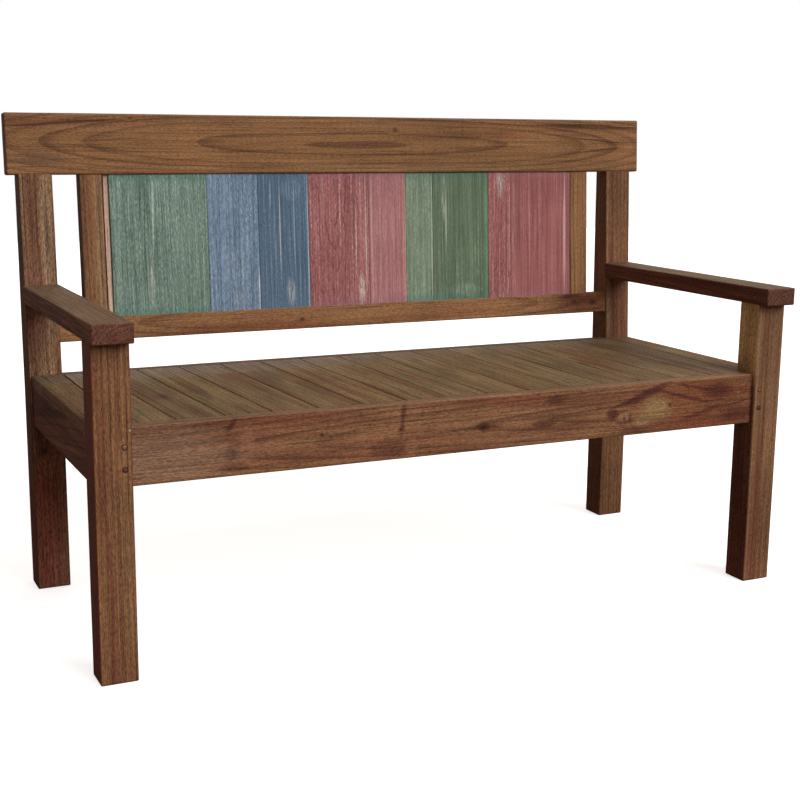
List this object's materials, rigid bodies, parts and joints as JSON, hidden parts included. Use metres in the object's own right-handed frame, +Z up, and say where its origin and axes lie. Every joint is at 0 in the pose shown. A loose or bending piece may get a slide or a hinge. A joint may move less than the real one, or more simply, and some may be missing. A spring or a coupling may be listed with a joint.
{
  "type": "garden bench",
  "caption": "Slatted hardwood garden bench with armrests, pegged mortise and tenon frame and a leaning back panel of painted boards.",
  "frame": {"origin": "on the ground, under the middle of the bounding box", "axes": "+X to the right of someone looking at the front, +Y to the back of the bench, +Z up"},
  "size_m": [1.5, 0.6521, 0.9749],
  "materials": {
    "frame_wood": "planed reclaimed hardwood, mid red brown with strong figure, thin oil finish",
    "seat_wood": "planed reclaimed hardwood, olive to grey brown, weathered",
    "bare_strip": "bare pinkish hardwood strip, no paint",
    "paint_green": "washed green paint, brushed open grain showing through",
    "paint_blue": "washed slate blue paint, brushed open grain showing through",
    "paint_rose": "washed dusty rose paint, brushed open grain showing through",
    "peg_wood": "dark hardwood pegs, cut flush"
  },
  "bodies": {
    "root": {"armrest_left": "frame_wood", "armrest_right": "frame_wood", "back_board_blue_1": "paint_blue", "back_board_blue_2": "paint_blue", "back_board_green_1": "paint_green", "back_board_green_2": "paint_green", "back_board_green_3": "paint_green", "back_board_rose_1": "paint_rose", "back_board_rose_2": "paint_rose", "back_board_rose_3": "paint_rose", "back_board_rose_4": "paint_rose", "back_peg_left": "peg_wood", "back_peg_right": "peg_wood", "back_stile_left": "frame_wood", "back_stile_right": "frame_wood", "filler_strip": "bare_strip", "front_leg_left": "frame_wood", "front_leg_right": "frame_wood", "lower_back_rail": "frame_wood", "rear_post_left": "frame_wood", "rear_post_right": "frame_wood", "seat_peg_left_lower": "peg_wood", "seat_peg_left_upper": "peg_wood", "seat_peg_right_lower": "peg_wood", "seat_peg_right_upper": "peg_wood", "seat_rail_front": "frame_wood", "seat_rail_left": "frame_wood", "seat_rail_rear": "frame_wood", "seat_rail_right": "frame_wood", "seat_slat_01": "seat_wood", "seat_slat_02": "seat_wood", "seat_slat_03": "seat_wood", "seat_slat_04": "seat_wood", "seat_slat_05": "seat_wood", "seat_slat_06": "seat_wood", "seat_slat_07": "seat_wood", "seat_slat_08": "seat_wood", "seat_slat_09": "seat_wood", "seat_slat_10": "seat_wood", "seat_slat_11": "seat_wood", "seat_slat_12": "seat_wood", "seat_slat_13": "seat_wood", "seat_slat_14": "seat_wood", "seat_slat_15": "seat_wood", "seat_slat_end_left": "seat_wood", "seat_slat_end_right": "seat_wood", "slat_ledger_front": "frame_wood", "slat_ledger_rear": "frame_wood", "top_rail": "frame_wood"}
  },
  "joints": []
}
